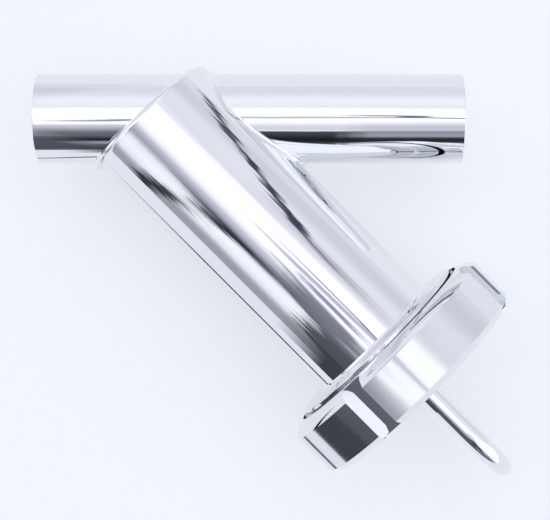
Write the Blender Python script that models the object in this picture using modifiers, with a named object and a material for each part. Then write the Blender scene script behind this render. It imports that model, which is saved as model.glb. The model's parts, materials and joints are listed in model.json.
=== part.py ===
"""Hygienic Y-type line strainer in stainless steel.

A straight run of pipe carries a wider barrel that leaves it at an angle.  The barrel's top is shut by an
end plate that takes the mitred inlet; the outlet saddles onto the barrel's side.  A perforated basket
lies in the barrel, and a blank cap with a bow handle, held by a slotted union nut, shuts the barrel's
screwed ferrule.

Frame: the run's axis is X, with the flow towards +X.  The barrel's axis lies in the XY plane and leaves
the crossing of the two axes, which is the origin, towards +X and -Y.  Heights along an axis are called
stations.  All sizes are in metres.
"""

import math

import bmesh
import bpy
from mathutils import Matrix, Vector

# ---- Driving dimensions -------------------------------------------------------------------------
PIPE_OD = 0.0330             # outside of the run's pipe
PIPE_WALL = 0.0015
INLET_LENGTH = 0.0423        # crossing of the axes to the inlet's weld end
OUTLET_LENGTH = 0.1133       # crossing of the axes to the outlet's weld end
LEG_ANGLE = math.radians(45.0)
LEG_LENGTH = 0.1155          # crossing of the axes to the back of the screwed ferrule

PLATE_RISE = 0.0016          # the end plate's face stands this far behind the crossing
PLATE_THICKNESS = 0.0020
PLATE_RIM = 0.00317          # flat rim of the end plate outside the mitred inlet
PLATE_ROUND = 0.0006
BARREL_WALL = 0.0015
SEAM_DEPTH = 0.0009          # depth of the closing seam between end plate and barrel
BEAD = 0.0009                # radius of the weld beads

FERRULE_LENGTH = 0.0135
FERRULE_SHOULDER = 0.0021    # plain back end, before the first thread
FERRULE_LIP = 0.0046         # wall between the gasket's groove and the thread's root
FERRULE_EDGE = 0.0005
THREAD_PITCH = 0.00423       # six turns to the inch
THREAD_DEPTH = 0.0021
THREAD_CREST = 0.30          # share of the pitch that is crest
GROOVE_DEPTH = 0.0045
GASKET_INSET = 0.0006        # the gasket's bore stands back from the barrel's bore
GASKET_WIDTH = 0.0064
GASKET_THICKNESS = 0.0046
GASKET_ROUND = 0.0007

CAP_FLANGE_THICKNESS = 0.0050
CAP_FLANGE_INSET = 0.0029    # the flange's rim inside the nut's bore
CAP_BOSS_HEIGHT = 0.0035
CAP_SPIGOT_REACH = 0.0096    # how far the spigot reaches into the ferrule
CAP_SPIGOT_WALL = 0.0025
CAP_EDGE = 0.0006

NUT_HEIGHT = 0.0220
NUT_WALL = 0.0066            # thread clearance bore to the outside
NUT_COLLAR_THICKNESS = 0.0042
NUT_COLLAR_OVERLAP = 0.0061  # how far the collar grips over the cap's flange
NUT_CHAMFER = 0.0022         # outer edge at the handle's side
NUT_NOSE_WIDTH = 0.0026      # outer bevel at the barrel's side: radial, then axial
NUT_NOSE_HEIGHT = 0.0024
NUT_FACE_WIDTH = 0.0008      # flat ring left at the mouth
NUT_FACE_HEIGHT = 0.0012
SLOT_COUNT = 4
SLOT_WIDTH = 0.0086
SLOT_DEPTH = 0.0052
SLOT_TURN = math.radians(24.0)

HANDLE_ROD = 0.0075          # diameter of the bow's rod
HANDLE_INSET = 0.0080        # rod's centre line inside the cap's boss
HANDLE_REACH = 0.0468        # cap's face to the outside of the bow
HANDLE_BEAD = 0.0008

BASKET_ANNULUS = 0.0040      # free ring between basket and barrel
BASKET_WALL = 0.0008
BASKET_RING_WALL = 0.0007
BASKET_RING_HEIGHT = 0.0048
BASKET_BASE_THICKNESS = 0.0020
BASKET_BASE_REACH = 0.0007   # clearance between the base's rim and the bore
BASKET_COLUMNS = 8           # windows round the sleeve
BASKET_WINDOW = 0.0092       # width of a window, as long as the sleeve between its end bands
BASKET_BAND = 0.0030         # plain band left at each end of the sleeve
SEAM_STRIP_WIDTH = 0.0050
SEAM_STRIP_THICKNESS = 0.0005
GRIP_ROD = 0.0026
GRIP_RADIUS = 0.0065
SEAT_RING_HEIGHT = 0.0050

GAP = 0.0003                 # between pieces that touch
RUNNING_CLEARANCE = 0.0004   # between pieces that slide or turn in each other
STEPS = 48                   # facets round a turned piece
SMALL_STEPS = 40

# ---- Radii, from the pipe outwards ------------------------------------------------------------------
pipe_radius = PIPE_OD / 2
pipe_bore = pipe_radius - PIPE_WALL
barrel_radius = pipe_radius / math.cos(LEG_ANGLE) + PLATE_RIM
barrel_bore = barrel_radius - BARREL_WALL
gasket_inner = barrel_bore + GASKET_INSET
gasket_outer = gasket_inner + GASKET_WIDTH
groove_radius = gasket_outer + GAP
thread_root = groove_radius + FERRULE_LIP
thread_crest = thread_root + THREAD_DEPTH
nut_bore = thread_crest + RUNNING_CLEARANCE
nut_radius = nut_bore + NUT_WALL
cap_radius = nut_bore - CAP_FLANGE_INSET
collar_bore = cap_radius - NUT_COLLAR_OVERLAP
boss_radius = collar_bore - RUNNING_CLEARANCE
spigot_radius = barrel_bore - BASKET_BASE_REACH
basket_radius = barrel_bore - BASKET_ANNULUS
basket_ring_inner = basket_radius + GAP
basket_ring_outer = basket_ring_inner + BASKET_RING_WALL
seat_ring_inner = basket_ring_outer + RUNNING_CLEARANCE
seat_ring_outer = barrel_bore - GAP

# ---- Stations along the leg, from the crossing outwards ---------------------------------------------
plate_face = -PLATE_RISE
plate_back = plate_face + PLATE_THICKNESS
barrel_start = plate_back + GAP
barrel_end = LEG_LENGTH - GAP
ferrule_front = LEG_LENGTH + FERRULE_LENGTH
groove_floor = ferrule_front - GROOVE_DEPTH
gasket_start = groove_floor + GAP
gasket_end = gasket_start + GASKET_THICKNESS
flange_start = gasket_end + GAP
flange_end = flange_start + CAP_FLANGE_THICKNESS
cap_face = flange_end + CAP_BOSS_HEIGHT
collar_start = flange_end + GAP
nut_end = collar_start + NUT_COLLAR_THICKNESS
nut_start = nut_end - NUT_HEIGHT
spigot_start = flange_start - CAP_SPIGOT_REACH
base_end = spigot_start - GAP
base_start = base_end - BASKET_BASE_THICKNESS
basket_start = barrel_start + GAP
basket_end = base_start - GAP

PALETTE = {
    "polished": ((0.72, 0.73, 0.75), 1.0, 0.08),
    "inner": ((0.62, 0.63, 0.65), 1.0, 0.30),
    "turned": ((0.66, 0.67, 0.69), 1.0, 0.22),
    "weld": ((0.55, 0.54, 0.52), 1.0, 0.34),
    "rubber": ((0.90, 0.90, 0.88), 0.0, 0.55),
}


# ---- Helpers ----------------------------------------------------------------------------------------
def finish_for(name, kind):
    """The piece's own Principled material, in one of the palette's finishes."""
    colour, metallic, roughness = PALETTE[kind]
    material = bpy.data.materials.new(name)
    material.use_nodes = True
    shader = material.node_tree.nodes["Principled BSDF"]
    shader.inputs["Base Color"].default_value = (*colour, 1.0)
    shader.inputs["Metallic"].default_value = metallic
    shader.inputs["Roughness"].default_value = roughness
    return material


def axis_frame(name, angle):
    """An empty at the crossing whose Z runs along an axis at this angle, and whose X is straight up."""
    along = Vector((math.cos(angle), -math.sin(angle), 0.0))
    up = Vector((0.0, 0.0, 1.0))
    empty = bpy.data.objects.new(name, None)
    empty.rotation_euler = Matrix((up, along.cross(up), along)).transposed().to_euler()
    empty.empty_display_size = 0.02
    parts.objects.link(empty)
    return empty


def place(name, data, frame, kind):
    """A part of the strainer, in its frame and with its finish."""
    body = bpy.data.objects.new(name, data)
    body.parent = frame
    body.data.materials.append(finish_for(name, kind))
    parts.objects.link(body)
    return body


def turned(name, outline, frame, kind, steps=STEPS):
    """A turned piece: (radius, station) points, down the outside and back up the inside or the axis."""
    points = [(radius, 0.0, station) for radius, station in outline]
    edges = [(i, i + 1) for i in range(len(points) - 1)]
    if outline[0][0] > 0.0:
        edges.append((len(points) - 1, 0))
    mesh = bpy.data.meshes.new(name)
    mesh.from_pydata(points, edges, [])
    body = place(name, mesh, frame, kind)
    screw = body.modifiers.new("turn", "SCREW")
    screw.steps = steps
    screw.render_steps = steps
    screw.use_merge_vertices = True
    screw.merge_threshold = 0.00001
    return body


def sleeve(outer, inner, start, end):
    """The outline of a plain tube between two stations."""
    return [(outer, end), (outer, start), (inner, start), (inner, end)]


def ring_outline(radius, station, thickness, sides=8):
    """The outline of a round bead that runs round the axis."""
    outline = []
    for i in range(sides):
        turn = math.pi / sides - math.tau * i / sides
        outline.append((radius + thickness * math.cos(turn), station + thickness * math.sin(turn)))
    return outline


def rod(name, points, radius, frame, kind, cyclic=False, resolution=2):
    """A round rod along a line of points."""
    curve = bpy.data.curves.new(name, "CURVE")
    curve.dimensions = "3D"
    curve.bevel_depth = radius
    curve.bevel_resolution = resolution
    curve.use_fill_caps = not cyclic
    spline = curve.splines.new("POLY")
    spline.points.add(len(points) - 1)
    for knot, point in zip(spline.points, points):
        knot.co = (*point, 1.0)
    spline.use_cyclic_u = cyclic
    return place(name, curve, frame, kind)


def bow(half_width, foot, crown, count):
    """Points of a bow in the XZ plane: two straight legs and a half circle whose top is at the crown."""
    centre = crown - half_width
    points = [(half_width, 0.0, foot)]
    for i in range(count + 1):
        turn = math.pi * i / count
        points.append((half_width * math.cos(turn), 0.0, centre + half_width * math.sin(turn)))
    points.append((-half_width, 0.0, foot))
    return points


def cutter(name, mesh, frame):
    """A hidden tool for the Boolean cuts."""
    tool = bpy.data.objects.new(name, mesh)
    tool.parent = frame
    tool.hide_render = True
    tool.display_type = "WIRE"
    tools.objects.link(tool)
    return tool


def round_cutter(name, radius, start, end, frame):
    """A solid cylinder on a frame's axis, from one station to another."""
    shape = bmesh.new()
    bmesh.ops.create_cone(shape, cap_ends=True, segments=STEPS, radius1=radius, radius2=radius,
                          depth=end - start, matrix=Matrix.Translation((0, 0, (start + end) / 2)))
    mesh = bpy.data.meshes.new(name)
    shape.to_mesh(mesh)
    shape.free()
    return cutter(name, mesh, frame)


def block_cutter(name, size, centre, frame, turn=0.0):
    """A solid block, turned about the frame's axis."""
    shape = bmesh.new()
    matrix = Matrix.Rotation(turn, 4, "Z") @ Matrix.Translation(centre) @ Matrix.Diagonal((*size, 1.0))
    bmesh.ops.create_cube(shape, size=1.0, matrix=matrix)
    mesh = bpy.data.meshes.new(name)
    shape.to_mesh(mesh)
    shape.free()
    return cutter(name, mesh, frame)


def cut(body, tool):
    """Take the tool's shape out of the body."""
    boolean = body.modifiers.new("cut", "BOOLEAN")
    boolean.operation = "DIFFERENCE"
    boolean.solver = "EXACT"
    boolean.object = tool


# ---- Housing ----------------------------------------------------------------------------------------
def make_inlet():
    """The short inlet pipe, mitred to lie flat on the end plate."""
    far = pipe_radius * math.tan(LEG_ANGLE) + barrel_radius
    outline = sleeve(pipe_radius, pipe_bore, -INLET_LENGTH, far)
    tube = turned("inlet_tube", outline, run, "polished", SMALL_STEPS)
    side = 4 * barrel_radius
    face = plate_face - GAP
    cut(tube, block_cutter("inlet_mitre", (side, side, side), (0, 0, face + side / 2), leg))


def make_outlet():
    """The long outlet pipe, saddled onto the barrel's side."""
    outline = sleeve(pipe_radius, pipe_bore, 0.0, OUTLET_LENGTH)
    tube = turned("outlet_tube", outline, run, "polished", SMALL_STEPS)
    reach = OUTLET_LENGTH + LEG_LENGTH
    cut(tube, round_cutter("outlet_saddle", barrel_radius + GAP, -reach, reach, leg))


def make_barrel():
    """The barrel, bevelled for its closing seam and pierced for the outlet."""
    tube = turned("barrel_tube", [
        (barrel_radius, barrel_end),
        (barrel_radius, barrel_start + SEAM_DEPTH + GAP),
        (barrel_radius - SEAM_DEPTH - GAP, barrel_start),
        (barrel_bore, barrel_start),
        (barrel_bore, barrel_end),
    ], leg, "polished")
    cut(tube, round_cutter("outlet_port", pipe_bore, 0.0, OUTLET_LENGTH, run))


def make_end_plate():
    """The flat plate that shuts the barrel's top, pierced by the inlet's bore."""
    plate = turned("end_plate", [
        (0.0, plate_back),
        (barrel_radius - SEAM_DEPTH, plate_back),
        (barrel_radius, plate_back - SEAM_DEPTH),
        (barrel_radius, plate_face + PLATE_ROUND),
        (barrel_radius - PLATE_ROUND, plate_face),
        (0.0, plate_face),
    ], leg, "polished")
    reach = pipe_radius * math.tan(LEG_ANGLE) + 4 * PLATE_THICKNESS
    cut(plate, round_cutter("inlet_port", pipe_bore, -reach, reach, run))


def make_seat_ring():
    """The ring inside the barrel's top that centres the basket."""
    outline = sleeve(seat_ring_outer, seat_ring_inner, barrel_start, barrel_start + SEAT_RING_HEIGHT)
    turned("seat_ring", outline, leg, "inner", SMALL_STEPS)


def make_ferrule():
    """The screwed ferrule: plain back, round thread, and a groove for the gasket in its front."""
    front = [(thread_root, ferrule_front), (thread_root + FERRULE_EDGE, ferrule_front - FERRULE_EDGE)]
    thread_start = LEG_LENGTH + FERRULE_SHOULDER
    turns = int((ferrule_front - FERRULE_EDGE - thread_start) / THREAD_PITCH)
    thread = []
    for i in reversed(range(turns)):
        station = thread_start + i * THREAD_PITCH
        thread.append((thread_root, station + THREAD_PITCH))
        thread.append((thread_crest, station + (1 + THREAD_CREST) / 2 * THREAD_PITCH))
        thread.append((thread_crest, station + (1 - THREAD_CREST) / 2 * THREAD_PITCH))
    back = [
        (thread_root, thread_start),
        (thread_root, LEG_LENGTH + FERRULE_EDGE),
        (thread_root - FERRULE_EDGE, LEG_LENGTH),
        (barrel_bore, LEG_LENGTH),
        (barrel_bore, groove_floor),
        (groove_radius, groove_floor),
        (groove_radius, ferrule_front),
    ]
    turned("thread_ferrule", front + thread + back, leg, "turned")


def make_gasket():
    """The ring that the cap is drawn down on."""
    turned("gasket", [
        (gasket_outer, gasket_end - GASKET_ROUND),
        (gasket_outer, gasket_start),
        (gasket_inner, gasket_start),
        (gasket_inner, gasket_end - GASKET_ROUND),
        (gasket_inner + GASKET_ROUND, gasket_end),
        (gasket_outer - GASKET_ROUND, gasket_end),
    ], leg, "rubber", SMALL_STEPS)


def mitre_weld_points(count):
    """The bead's centre line round the inlet's mitre on the end plate."""
    radius = pipe_radius + GAP + BEAD
    station = plate_face - GAP - BEAD
    points = []
    for i in range(count):
        turn = math.tau * i / count
        y = radius * math.cos(turn)
        x = (station + y * math.sin(LEG_ANGLE)) / math.cos(LEG_ANGLE)
        points.append((x, y, radius * math.sin(turn)))
    return points


def saddle_weld_points(count):
    """The bead's centre line round the outlet's saddle on the barrel."""
    radius = pipe_radius + GAP + BEAD
    standoff = barrel_radius + GAP + BEAD
    points = []
    for i in range(count):
        turn = math.tau * i / count
        y = radius * math.cos(turn)
        z = radius * math.sin(turn)
        across = math.sqrt(standoff ** 2 - z ** 2)
        x = (across - y * math.cos(LEG_ANGLE)) / math.sin(LEG_ANGLE)
        points.append((x, y, z))
    return points


def make_welds():
    """The beads that join the housing's pieces."""
    rod("weld_inlet", mitre_weld_points(40), BEAD, None, "weld", cyclic=True)
    rod("weld_outlet", saddle_weld_points(40), BEAD, None, "weld", cyclic=True)
    middle = barrel_start - GAP / 2
    turned("weld_end_plate", [
        (barrel_radius, middle + SEAM_DEPTH - GAP / 2),
        (barrel_radius, middle - SEAM_DEPTH + GAP / 2),
        (barrel_radius - SEAM_DEPTH + GAP, middle),
    ], leg, "weld")
    outline = ring_outline(barrel_radius + GAP + BEAD, LEG_LENGTH - GAP - BEAD, BEAD)
    turned("weld_ferrule", outline, leg, "weld", SMALL_STEPS)


# ---- Closure ----------------------------------------------------------------------------------------
def make_cap():
    """The blank cap: flange, boss for the handle, and a hollow spigot that holds the basket down."""
    spigot_bore = spigot_radius - CAP_SPIGOT_WALL
    turned("blank_cap", [
        (0.0, cap_face),
        (boss_radius - CAP_EDGE, cap_face),
        (boss_radius, cap_face - CAP_EDGE),
        (boss_radius, flange_end),
        (cap_radius, flange_end),
        (cap_radius, flange_start),
        (spigot_radius, flange_start),
        (spigot_radius, spigot_start),
        (spigot_bore, spigot_start),
        (spigot_bore, flange_start),
        (0.0, flange_start),
    ], leg, "turned")


def make_handle():
    """The bow handle and the beads round its two feet."""
    half = boss_radius - HANDLE_INSET
    radius = HANDLE_ROD / 2
    crown = cap_face + HANDLE_REACH - radius
    rod("handle_loop", bow(half, cap_face + GAP, crown, 18), radius, leg, "polished", resolution=4)
    for side, name in ((1, "handle_weld_a"), (-1, "handle_weld_b")):
        outline = ring_outline(radius + GAP + HANDLE_BEAD, cap_face + GAP + HANDLE_BEAD, HANDLE_BEAD, 6)
        bead = turned(name, outline, leg, "weld", 24)
        bead.location = (side * half, 0.0, 0.0)


def make_nut():
    """The slotted round union nut, with a collar that draws the cap down."""
    nut = turned("union_nut", [
        (nut_radius - NUT_CHAMFER, nut_end),
        (nut_radius, nut_end - NUT_CHAMFER),
        (nut_radius, nut_start + NUT_FACE_HEIGHT + NUT_NOSE_HEIGHT),
        (nut_radius - NUT_NOSE_WIDTH, nut_start + NUT_FACE_HEIGHT),
        (nut_bore + NUT_FACE_WIDTH, nut_start),
        (nut_bore, nut_start),
        (nut_bore, collar_start),
        (collar_bore, collar_start),
        (collar_bore, nut_end),
    ], leg, "polished")
    floor = nut_radius - SLOT_DEPTH
    height = 2 * NUT_HEIGHT
    depth = 2 * SLOT_DEPTH
    for i in range(SLOT_COUNT):
        centre = (floor + depth / 2, 0.0, nut_end - NUT_HEIGHT / 2)
        turn = SLOT_TURN + math.tau * i / SLOT_COUNT
        cut(nut, block_cutter(f"nut_slot_{i + 1}", (depth, SLOT_WIDTH, height), centre, leg, turn))


# ---- Basket -----------------------------------------------------------------------------------------
def make_basket_sleeve():
    """The open sleeve: a rolled sheet with a long window between each two staves."""
    window_turn = BASKET_WINDOW / basket_radius
    turns = []
    for column in range(BASKET_COLUMNS):
        middle = math.tau * column / BASKET_COLUMNS
        turns += [middle - window_turn / 2, middle, middle + window_turn / 2]
    stations = [basket_start, basket_start + BASKET_BAND, basket_end - BASKET_BAND, basket_end]
    sheet = bmesh.new()
    grid = []
    for station in stations:
        ring = []
        for turn in turns:
            point = (basket_radius * math.cos(turn), basket_radius * math.sin(turn), station)
            ring.append(sheet.verts.new(point))
        grid.append(ring)
    for row, (near, far) in enumerate(zip(grid, grid[1:])):
        for column in range(len(turns)):
            after = (column + 1) % len(turns)
            is_window = row == 1 and column % 3 != 2
            if not is_window:
                sheet.faces.new((near[column], near[after], far[after], far[column]))
    mesh = bpy.data.meshes.new("basket_tube")
    sheet.to_mesh(mesh)
    sheet.free()
    body = place("basket_tube", mesh, leg, "inner")
    wall = body.modifiers.new("wall", "SOLIDIFY")
    wall.thickness = BASKET_WALL
    wall.offset = -1.0


def make_seam_strip():
    """The strip welded over the sleeve's joint, between the top ring and the base."""
    inner = basket_radius + GAP
    outer = inner + SEAM_STRIP_THICKNESS
    start = basket_start + BASKET_RING_HEIGHT + GAP
    half_turn = SEAM_STRIP_WIDTH / (2 * basket_radius)
    middle = math.pi / BASKET_COLUMNS + math.pi / 2
    shape = bmesh.new()
    rings = []
    for turn in (middle - half_turn, middle, middle + half_turn):
        corners = ((inner, start), (outer, start), (outer, basket_end), (inner, basket_end))
        rings.append([shape.verts.new((r * math.cos(turn), r * math.sin(turn), z)) for r, z in corners])
    for first, second in zip(rings, rings[1:]):
        for i in range(4):
            after = (i + 1) % 4
            shape.faces.new((first[i], first[after], second[after], second[i]))
    shape.faces.new(rings[0])
    shape.faces.new(rings[-1])
    bmesh.ops.recalc_face_normals(shape, faces=shape.faces)
    mesh = bpy.data.meshes.new("basket_seam")
    shape.to_mesh(mesh)
    shape.free()
    place("basket_seam", mesh, leg, "inner")


def make_basket():
    """The lift-out basket: sleeve, seam strip, top ring, base and pull grip."""
    make_basket_sleeve()
    make_seam_strip()
    outline = sleeve(basket_ring_outer, basket_ring_inner, basket_start, basket_start + BASKET_RING_HEIGHT)
    turned("basket_top_ring", outline, leg, "inner", SMALL_STEPS)
    turned("basket_base", [
        (0.0, base_end),
        (spigot_radius, base_end),
        (spigot_radius, base_start),
        (0.0, base_start),
    ], leg, "inner", SMALL_STEPS)
    crown = flange_start - GRIP_ROD
    rod("basket_grip", bow(GRIP_RADIUS, base_end + GAP, crown, 12), GRIP_ROD / 2, leg, "inner")


def clear_scene():
    """Start from an empty scene."""
    for item in list(bpy.data.objects):
        bpy.data.objects.remove(item, do_unlink=True)


def collection(name):
    """A new collection of the scene."""
    group = bpy.data.collections.new(name)
    bpy.context.scene.collection.children.link(group)
    return group


clear_scene()
parts = collection("y_strainer")
tools = collection("cutters")
run = axis_frame("run_axis", 0.0)
leg = axis_frame("leg_axis", LEG_ANGLE)
make_inlet()
make_outlet()
make_barrel()
make_end_plate()
make_seat_ring()
make_ferrule()
make_gasket()
make_welds()
make_cap()
make_handle()
make_nut()
make_basket()
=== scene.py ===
"""The finished look of a hygienic Y-type line strainer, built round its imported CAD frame.

Every piece takes its place and size from the CAD node that it stands for.  Turned pieces are drawn in the
leg's own frame, with their axis on Z, and are then laid along the leg.  All sizes are in metres.
"""

import json
import math

import bmesh
import bpy
from bpy.props import FloatProperty, FloatVectorProperty, IntProperty, PointerProperty
from mathutils import Matrix, Vector


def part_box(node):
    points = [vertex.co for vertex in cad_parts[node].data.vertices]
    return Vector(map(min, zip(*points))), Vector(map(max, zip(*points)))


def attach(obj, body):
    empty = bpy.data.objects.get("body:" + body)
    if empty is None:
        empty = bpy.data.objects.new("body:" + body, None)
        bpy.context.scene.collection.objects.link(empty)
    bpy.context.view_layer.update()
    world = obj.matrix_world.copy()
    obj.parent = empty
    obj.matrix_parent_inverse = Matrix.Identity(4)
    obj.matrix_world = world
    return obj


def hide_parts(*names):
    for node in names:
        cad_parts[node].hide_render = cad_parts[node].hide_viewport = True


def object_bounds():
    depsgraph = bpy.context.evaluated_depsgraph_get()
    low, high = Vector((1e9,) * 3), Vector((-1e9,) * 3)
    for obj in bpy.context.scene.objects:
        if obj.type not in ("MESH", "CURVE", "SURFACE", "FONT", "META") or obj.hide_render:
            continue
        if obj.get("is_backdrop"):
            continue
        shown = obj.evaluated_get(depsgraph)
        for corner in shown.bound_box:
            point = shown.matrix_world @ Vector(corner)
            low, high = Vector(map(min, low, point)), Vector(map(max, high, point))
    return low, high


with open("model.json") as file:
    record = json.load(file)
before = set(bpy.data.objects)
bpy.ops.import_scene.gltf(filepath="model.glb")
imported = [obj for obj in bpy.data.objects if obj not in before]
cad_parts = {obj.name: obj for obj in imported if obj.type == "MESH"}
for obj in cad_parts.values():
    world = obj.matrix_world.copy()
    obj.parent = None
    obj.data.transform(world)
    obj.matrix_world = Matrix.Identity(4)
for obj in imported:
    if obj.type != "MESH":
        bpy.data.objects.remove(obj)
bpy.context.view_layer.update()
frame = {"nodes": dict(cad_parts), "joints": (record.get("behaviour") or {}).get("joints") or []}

bl_info = {
    "name": "Y-Type Line Strainer",
    "version": (1, 0, 0),
    "blender": (4, 5, 0),
    "location": "3D View > Sidebar > Strainer",
    "description": "Builds the finished pieces of a hygienic Y-type line strainer on its CAD frame",
    "category": "Object",
}

# ---- What the frame says ------------------------------------------------------------------------------
UP = Vector((0.0, 0.0, 1.0))
RUN_WAY = Vector((1.0, 0.0, 0.0))
LEG_WAY = next(Vector(joint["axis"]).normalized() for joint in frame["joints"] if joint["name"] == "basket_pull")
LEG_SIDE = UP.cross(LEG_WAY)
MERGE = 0.00001


def axes(way):
    """The frame of an axis through the crossing: Z along it, X straight up."""
    return Matrix((UP, way.cross(UP), way)).transposed().to_4x4()


class Reach:
    """How far a CAD node reaches along an axis through the crossing, and round it."""

    def __init__(self, node, way):
        points = [vertex.co for vertex in frame["nodes"][node].data.vertices]
        stations = [point.dot(way) for point in points]
        radii = [(point - way * station).length for point, station in zip(points, stations)]
        self.start = min(stations)
        self.end = max(stations)
        self.inner = min(radii)
        self.outer = max(radii)


inlet = Reach("inlet_tube", RUN_WAY)
outlet = Reach("outlet_tube", RUN_WAY)
barrel = Reach("barrel_tube", LEG_WAY)
plate = Reach("end_plate", LEG_WAY)
seat = Reach("seat_ring", LEG_WAY)
ferrule = Reach("thread_ferrule", LEG_WAY)
gasket = Reach("gasket", LEG_WAY)
cap = Reach("blank_cap", LEG_WAY)
handle = Reach("handle_loop", LEG_WAY)
nut = Reach("union_nut", LEG_WAY)
sleeve = Reach("basket_tube", LEG_WAY)
top_ring = Reach("basket_top_ring", LEG_WAY)
base = Reach("basket_base", LEG_WAY)
seam_strip = Reach("basket_seam", LEG_WAY)
grip = Reach("basket_grip", LEG_WAY)
handle_low, handle_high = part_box("handle_loop")


# ---- Sizes and finishes that a user would change ------------------------------------------------------
def length(name, description, default):
    """A length property in metres."""
    return FloatProperty(name=name, description=description, default=default, unit="LENGTH", precision=5)


def share(name, description, default):
    """A property from 0 to 1."""
    return FloatProperty(name=name, description=description, default=default, min=0.0, max=1.0, subtype="FACTOR")


def colour(name, description, default):
    """A colour property."""
    return FloatVectorProperty(name=name, description=description, default=default, size=3, min=0.0, max=1.0,
                               subtype="COLOR")


class StrainerSizes(bpy.types.PropertyGroup):
    """Sizes of the fine detail that the CAD frame leaves plain."""

    turn_steps: IntProperty(name="Turn Steps", description="Facets round a turned piece", default=192)
    edge_break: length("Edge Break", "Round left on a deburred edge", 0.0003)
    plate_round: length("Plate Round", "Round on the end plate's rim", 0.0018)
    saddle_fillet: length("Saddle Fillet", "Largest radius of the ground weld on the outlet's back", 0.0085)
    crotch_fillet: length("Crotch Fillet", "Radius of the ground weld in the sharp corner", 0.0012)
    mitre_fillet: length("Mitre Fillet", "Radius of the ground weld round the inlet", 0.0014)
    thread_pitch: length("Thread Pitch", "Rise of one turn of the ferrule's round thread", 0.00423)
    thread_depth: length("Thread Depth", "Root to crest of the round thread", 0.0021)
    groove_depth: length("Groove Depth", "Depth of the gasket's groove in the ferrule", 0.0045)
    slot_width: length("Slot Width", "Width of a spanner slot in the nut", 0.0086)
    slot_depth: length("Slot Depth", "Depth of a spanner slot in the nut", 0.0052)
    slot_turn: FloatProperty(name="Slot Turn", description="Angle from straight up to the first slot",
                             default=math.radians(24.0), subtype="ANGLE")
    nut_wall: length("Nut Wall", "Nut's thread bore to its outside", 0.0066)
    collar: length("Collar", "Thickness of the nut's collar over the cap", 0.0042)
    handle_rod: length("Handle Rod", "Diameter of the bow's rod", 0.0075)
    hole: length("Hole", "Diameter of the basket's holes", 0.0018)
    holes_round: IntProperty(name="Holes Round", description="Holes in a ring of the basket", default=44)
    holes_along: IntProperty(name="Holes Along", description="Rings of holes in the basket", default=37)


class StrainerFinish(bpy.types.PropertyGroup):
    """Colours and roughness of the finishes."""

    polished: colour("Polished Steel", "Colour of the mirror-polished steel", (0.83, 0.84, 0.86))
    satin: colour("Satin Steel", "Colour of the turned satin steel", (0.80, 0.81, 0.83))
    inner: colour("Mill Steel", "Colour of the plain steel inside", (0.62, 0.63, 0.65))
    weld: colour("Weld", "Colour of the ground welds", (0.78, 0.79, 0.81))
    tint: colour("Heat Tint", "Straw colour left beside a weld", (0.70, 0.64, 0.56))
    rubber: colour("Rubber", "Colour of the gasket", (0.86, 0.86, 0.83))
    mirror: share("Mirror Roughness", "Roughness of the polished steel", 0.02)
    satin_roughness: share("Satin Roughness", "Roughness of the turned satin steel", 0.12)


class StudioLook(bpy.types.PropertyGroup):
    """The floor, the light and the camera."""

    floor: colour("Floor", "Colour of the floor", (0.875, 0.905, 0.95))
    backdrop: colour("Backdrop", "Colour of the room where the camera sees past the floor", (0.86, 0.89, 0.94))
    camera_height: length("Camera Height", "Camera above the run's axis", 0.525)
    camera_x: length("Camera X", "Camera's place along the run", 0.0560)
    camera_y: length("Camera Y", "Camera's place across the run", -0.0552)
    focal_length: FloatProperty(name="Focal Length", description="Lens in millimetres", default=92.95,
                                unit="CAMERA")
    floor_radius: length("Floor Radius", "How far the floor reaches", 1.1)
    floor_lit: share("Floor Lit", "Share of the floor's colour that the light gives", 0.36)
    floor_glow: share("Floor Glow", "Share of the floor's colour that comes from below", 0.62)
    flag_distance: length("Flag Distance", "From the leg's axis to the dark card", 0.17)
    flag_width: length("Flag Width", "Width of the dark card along the leg", 0.085)
    strip_distance: length("Strip Distance", "From the barrel's side to the dark strip on the floor", 0.07)
    strip_width: length("Strip Width", "Width of the dark strip on the floor", 0.012)
    flag_height: length("Flag Height", "Height of the dark card", 0.105)
    room_strength: FloatProperty(name="Room Strength", description="Brightness of the room's light", default=1.5)


# ---- Modelling helpers --------------------------------------------------------------------------------
def deselect():
    """Nothing selected, in object mode."""
    bpy.ops.object.select_all(action="DESELECT")


def pick(piece):
    """Only this piece selected and active."""
    deselect()
    piece.select_set(True)
    bpy.context.view_layer.objects.active = piece


def named(name):
    """The new primitive, under its own name."""
    piece = bpy.context.object
    piece.name = name
    piece.data.name = name
    return piece


def edit(piece, selected=True):
    """Edit mode on a piece, with all or nothing selected."""
    pick(piece)
    bpy.ops.object.mode_set(mode="EDIT")
    bpy.ops.mesh.select_all(action="SELECT" if selected else "DESELECT")


def leave_edit():
    """Back to object mode."""
    bpy.ops.object.mode_set(mode="OBJECT")


def close_up(piece, merge=MERGE):
    """Merge doubles and turn all faces outwards."""
    edit(piece)
    bpy.ops.mesh.remove_doubles(threshold=merge)
    bpy.ops.mesh.normals_make_consistent(inside=False)
    leave_edit()


def apply_modifiers(piece):
    """Every modifier of the piece, applied in order."""
    pick(piece)
    for modifier in list(piece.modifiers):
        bpy.ops.object.modifier_apply(modifier=modifier.name)


def lay(piece, way, shift=(0.0, 0.0, 0.0)):
    """Lay a piece that was drawn along Z onto an axis, with its place in its mesh."""
    piece.matrix_world = axes(way) @ Matrix.Translation(shift)
    pick(piece)
    bpy.ops.object.transform_apply(location=True, rotation=True, scale=True)
    return piece


def smooth(piece, angle=30.0):
    """Smooth shading that keeps edges sharper than the angle."""
    pick(piece)
    bpy.ops.object.shade_smooth_by_angle(angle=math.radians(angle))


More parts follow.
